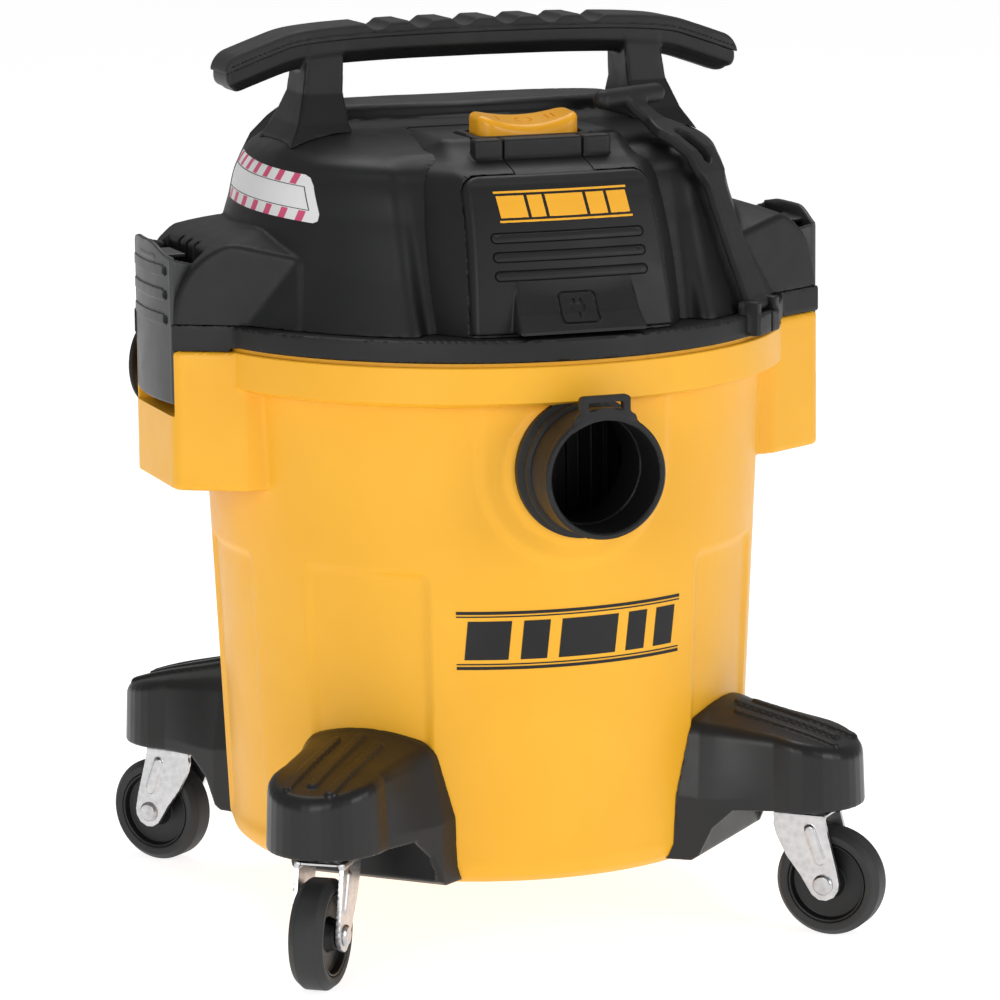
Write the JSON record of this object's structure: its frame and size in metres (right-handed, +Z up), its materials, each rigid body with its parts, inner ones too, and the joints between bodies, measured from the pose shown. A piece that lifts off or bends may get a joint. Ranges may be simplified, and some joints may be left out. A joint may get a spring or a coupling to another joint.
{
  "type": "shop vacuum",
  "caption": "Wet and dry shop vacuum: tapered drum on swivel casters, lift-off motor head with side latches, carry handle, rocker switch and covered socket.",
  "frame": {"origin": "on the floor under the drum's axis, at the centre of the bounding box's base", "axes": "+Z up; -Y is the front, where the hose port is; +X is the right-hand latch seen from behind the hose port"},
  "size_m": [0.3856, 0.391, 0.5],
  "materials": {
    "drum_yellow": "satin moulded yellow plastic",
    "black_plastic": "fine-textured black plastic",
    "grey_plastic": "fine-textured dark grey plastic",
    "hub_grey": "moulded black plastic",
    "steel": "plain steel",
    "zinc": "bright zinc-plated pressed steel",
    "tyre_rubber": "dark grey rubber",
    "strap_rubber": "matte black rubber",
    "seal_rubber": "matte black rubber",
    "grip_rubber": "soft-touch dark grey rubber",
    "switch_yellow": "glossy yellow plastic",
    "copper": "lacquered copper winding",
    "aluminium": "pressed aluminium",
    "filter_paper": "pleated filter paper",
    "float_plastic": "light plastic"
  },
  "bodies": {
    "root": {"drum": "drum_yellow", "inlet_port": "black_plastic", "inlet_deflector": "black_plastic", "foot_front_left": "black_plastic", "foot_front_right": "black_plastic", "foot_rear_right": "black_plastic", "foot_rear_left": "black_plastic", "latch_pin_left": "steel", "latch_pin_right": "steel", "cord_peg_left": "black_plastic", "cord_peg_right": "black_plastic"},
    "head": {"head_deck": "black_plastic", "deck_seal": "seal_rubber", "motor_housing": "black_plastic", "handle_frame": "black_plastic", "handle_grip": "grip_rubber", "switch_bezel": "black_plastic", "power_socket": "black_plastic", "cover_pin": "steel", "strap_pin_left": "steel", "strap_pin_right": "steel", "blower_port": "black_plastic", "exhaust_grille": "black_plastic", "cord_gland": "strap_rubber", "motor_stator": "steel", "impeller_case": "steel", "filter_cage": "black_plastic", "filter_sleeve": "filter_paper", "filter_cap": "seal_rubber"},
    "latch_left": {"latch_left": "grey_plastic"},
    "latch_right": {"latch_right": "grey_plastic"},
    "socket_cover": {"socket_cover": "black_plastic"},
    "rocker_switch": {"rocker_switch": "switch_yellow"},
    "strap_left": {"strap_left": "strap_rubber"},
    "strap_right": {"strap_right": "strap_rubber"},
    "float_ball": {"float_ball": "float_plastic"},
    "motor_rotor": {"motor_armature": "copper", "rotor_shaft": "steel", "cooling_fan": "black_plastic", "impeller": "aluminium"},
    "caster_front_left": {"caster_stem_front_left": "steel", "caster_fork_front_left": "zinc", "caster_axle_front_left": "steel"},
    "wheel_front_left": {"caster_hub_front_left": "hub_grey", "caster_tyre_front_left": "tyre_rubber"},
    "caster_front_right": {"caster_stem_front_right": "steel", "caster_fork_front_right": "zinc", "caster_axle_front_right": "steel"},
    "wheel_front_right": {"caster_hub_front_right": "hub_grey", "caster_tyre_front_right": "tyre_rubber"},
    "caster_rear_right": {"caster_stem_rear_right": "steel", "caster_fork_rear_right": "zinc", "caster_axle_rear_right": "steel"},
    "wheel_rear_right": {"caster_hub_rear_right": "hub_grey", "caster_tyre_rear_right": "tyre_rubber"},
    "caster_rear_left": {"caster_stem_rear_left": "steel", "caster_fork_rear_left": "zinc", "caster_axle_rear_left": "steel"},
    "wheel_rear_left": {"caster_hub_rear_left": "hub_grey", "caster_tyre_rear_left": "tyre_rubber"}
  },
  "joints": [
    {"name": "head_lift", "type": "slide", "parent": "root", "child": "head", "axis": [0, 0, 1], "range_m": [0, 0.25]},
    {"name": "latch_left_hinge", "type": "hinge", "parent": "root", "child": "latch_left", "pos_m": [-0.181, 0, 0.307], "axis": [0, -1, 0], "range_deg": [0, 55]},
    {"name": "latch_right_hinge", "type": "hinge", "parent": "root", "child": "latch_right", "pos_m": [0.181, 0, 0.307], "axis": [0, 1, 0], "range_deg": [0, 55]},
    {"name": "socket_cover_hinge", "type": "hinge", "parent": "head", "child": "socket_cover", "pos_m": [0, -0.099, 0.437], "axis": [-1, 0, 0], "range_deg": [0, 105]},
    {"name": "rocker_tilt", "type": "hinge", "parent": "head", "child": "rocker_switch", "pos_m": [0, -0.073, 0.441], "axis": [0, 1, 0], "range_deg": [-8, 8]},
    {"name": "strap_right_hinge", "type": "hinge", "parent": "head", "child": "strap_right", "pos_m": [0.11738, -0.11738, 0.3476], "axis": [0.7071, 0.7071, 0], "range_deg": [0, 95]},
    {"name": "strap_left_hinge", "type": "hinge", "parent": "head", "child": "strap_left", "pos_m": [-0.11738, 0.11738, 0.3476], "axis": [-0.7071, -0.7071, 0], "range_deg": [0, 95]},
    {"name": "float_lift", "type": "slide", "parent": "head", "child": "float_ball", "axis": [0, 0, 1], "range_m": [0, 0.04]},
    {"name": "rotor_spin", "type": "hinge", "parent": "head", "child": "motor_rotor", "pos_m": [0, 0, 0.37], "axis": [0, 0, 1], "continuous": true},
    {"name": "swivel_front_left", "type": "hinge", "parent": "root", "child": "caster_front_left", "pos_m": [-0.13781, -0.13781, 0], "axis": [0, 0, 1], "continuous": true},
    {"name": "wheel_spin_front_left", "type": "hinge", "parent": "caster_front_left", "child": "wheel_front_left", "pos_m": [-0.14699, -0.15044, 0.0299], "axis": [0.809, -0.5878, 0], "continuous": true},
    {"name": "swivel_front_right", "type": "hinge", "parent": "root", "child": "caster_front_right", "pos_m": [0.13781, -0.13781, 0], "axis": [0, 0, 1], "continuous": true},
    {"name": "wheel_spin_front_right", "type": "hinge", "parent": "caster_front_right", "child": "wheel_front_right", "pos_m": [0.14904, -0.14865, 0.0299], "axis": [0.6947, 0.7193, 0], "continuous": true},
    {"name": "swivel_rear_right", "type": "hinge", "parent": "root", "child": "caster_rear_right", "pos_m": [0.13781, 0.13781, 0], "axis": [0, 0, 1], "continuous": true},
    {"name": "wheel_spin_rear_right", "type": "hinge", "parent": "caster_rear_right", "child": "wheel_rear_right", "pos_m": [0.14784, 0.14977, 0.0299], "axis": [-0.766, 0.6428, 0], "continuous": true},
    {"name": "swivel_rear_left", "type": "hinge", "parent": "root", "child": "caster_rear_left", "pos_m": [-0.13781, 0.13781, 0], "axis": [0, 0, 1], "continuous": true},
    {"name": "wheel_spin_rear_left", "type": "hinge", "parent": "caster_rear_left", "child": "wheel_rear_left", "pos_m": [-0.14763, 0.14994, 0.0299], "axis": [-0.7771, -0.6293, 0], "continuous": true}
  ]
}
